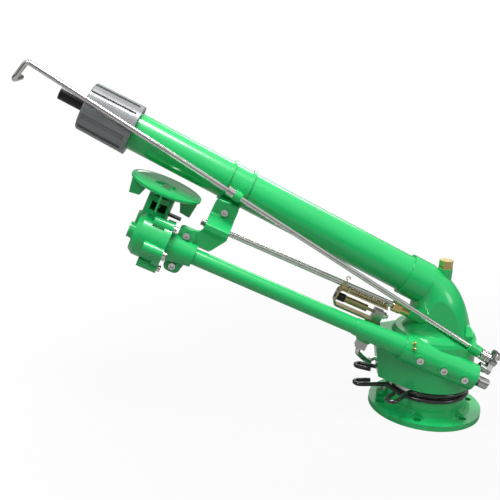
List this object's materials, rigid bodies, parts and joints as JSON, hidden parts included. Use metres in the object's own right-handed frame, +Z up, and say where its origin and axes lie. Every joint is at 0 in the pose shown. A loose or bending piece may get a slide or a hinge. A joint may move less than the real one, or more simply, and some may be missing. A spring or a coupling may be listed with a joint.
{
  "type": "big gun irrigation sprinkler",
  "caption": "Turbine-driven rain gun: a flanged base with a slowly turning upward barrel, impeller gearbox, trip rod reverse and jet breaker.",
  "frame": {"origin": "centre of the flange's underside, on the swivel axis", "axes": "+Z up the swivel axis, -X along the barrel's heading at rest, -Y on the drive gearbox's side"},
  "size_m": [0.7594, 0.2121, 0.5105],
  "materials": {
    "green_paint": "gloss enamel",
    "steel": "turned",
    "stainless": "polished",
    "bearing_steel": "ground",
    "grey_steel": "dull zinc plate",
    "bronze": "machined bronze",
    "brass": "machined",
    "zinc_yellow": "yellow zinc plate",
    "black_rubber": "matt",
    "black_wire": "black paint",
    "grey_plastic": "moulded",
    "grey_cap": "moulded",
    "black_plastic": "moulded",
    "pale_seal": "soft"
  },
  "bodies": {
    "base": {"base_flange": "green_paint", "hub_pin": "steel", "bearing_inner_race": "bearing_steel", "bearing_balls": "bearing_steel", "ring_gear": "bronze", "ring_gear_key": "steel", "gear_circlip": "steel"},
    "upper_ring": {"upper_stop_ring": "black_wire"},
    "lower_ring": {"lower_stop_ring": "black_wire"},
    "head": {"bearing_outer_race": "bearing_steel", "bearing_circlip": "steel", "dust_seal": "black_rubber", "upper_bush": "bronze", "water_seal": "black_rubber", "body_casting": "green_paint", "pressure_plug": "brass", "barrel": "green_paint", "flow_straightener": "grey_plastic", "nozzle_cap": "grey_cap", "nozzle_insert": "black_plastic", "nozzle_seal": "pale_seal", "shaft_tube": "green_paint", "worm_bushes": "bronze", "housing_screws": "stainless", "grease_nipples": "brass", "gearbox_front": "green_paint", "gearbox_rear": "green_paint", "gearbox_screws": "stainless", "keeper_plate": "black_plastic", "gearbox_shaft_bush": "bronze", "impeller_bushes": "bronze", "yoke_bracket": "green_paint", "yoke_screws": "stainless", "fitting_body": "brass", "compression_nut": "brass"},
    "drive_train": {"drive_shaft": "steel", "output_worm": "steel", "worm_wheel": "bronze", "breaker_cam": "grey_steel"},
    "impeller_group": {"impeller": "green_paint", "impeller_shaft": "stainless", "input_worm": "steel", "impeller_screw": "stainless"},
    "drive_tube": {"drive_water_tube": "stainless", "drive_nozzle": "steel"},
    "toggle": {"toggle_frame": "zinc_yellow", "plunger": "zinc_yellow", "plunger_cap": "black_plastic", "pivot_block": "grey_steel", "toggle_bolt": "stainless", "over_centre_spring": "stainless", "trip_shaft": "stainless", "trip_clevis": "grey_steel", "trip_rod": "stainless"},
    "breaker": {"breaker_rod": "stainless", "breaker_collar": "stainless", "torsion_spring": "stainless", "crank_arm": "grey_steel", "clamp_bolt": "stainless", "breaker_roller": "grey_steel"}
  },
  "joints": [
    {"name": "gun_swivel", "type": "hinge", "parent": "base", "child": "head", "pos_m": [0, 0, 0.072], "axis": [0, 0, 1], "range_deg": [-210, 5]},
    {"name": "upper_ring_turn", "type": "hinge", "parent": "base", "child": "upper_ring", "pos_m": [0, 0, 0.0473], "axis": [0, 0, 1], "range_deg": [-45, 60]},
    {"name": "lower_ring_turn", "type": "hinge", "parent": "base", "child": "lower_ring", "pos_m": [0, 0, 0.0373], "axis": [0, 0, 1], "range_deg": [-3, 60]},
    {"name": "drive_shaft_spin", "type": "hinge", "parent": "head", "child": "drive_train", "pos_m": [0, -0.05971, 0.1028], "axis": [0.9397, 0, -0.342], "continuous": true},
    {"name": "impeller_spin", "type": "hinge", "parent": "head", "child": "impeller_group", "pos_m": [-0.45669, -0.02746, 0.26902], "axis": [0.342, 0, 0.9397], "continuous": true},
    {"name": "toggle_swing", "type": "hinge", "parent": "head", "child": "toggle", "pos_m": [-0.10525, -0.02746, 0.14111], "axis": [0.342, 0, 0.9397], "range_deg": [-3.6, 3.6]},
    {"name": "drive_tube_swing", "type": "hinge", "parent": "head", "child": "drive_tube", "pos_m": [-0.05961, -0.02746, 0.17292], "axis": [0.342, 0, 0.9397], "range_deg": [-2.5, 2.5]},
    {"name": "breaker_tilt", "type": "hinge", "parent": "head", "child": "breaker", "pos_m": [0, -0.0428, 0.15285], "axis": [0.8729, 0, -0.4879], "range_deg": [0, 20], "stiffness_Nm_per_rad": 1}
  ],
  "couplings": [
    {"joint": "drive_shaft_spin", "follows": "gun_swivel", "ratio": -13},
    {"joint": "impeller_spin", "follows": "gun_swivel", "ratio": 208},
    {"joint": "drive_tube_swing", "follows": "toggle_swing", "ratio": 0.67347}
  ]
}
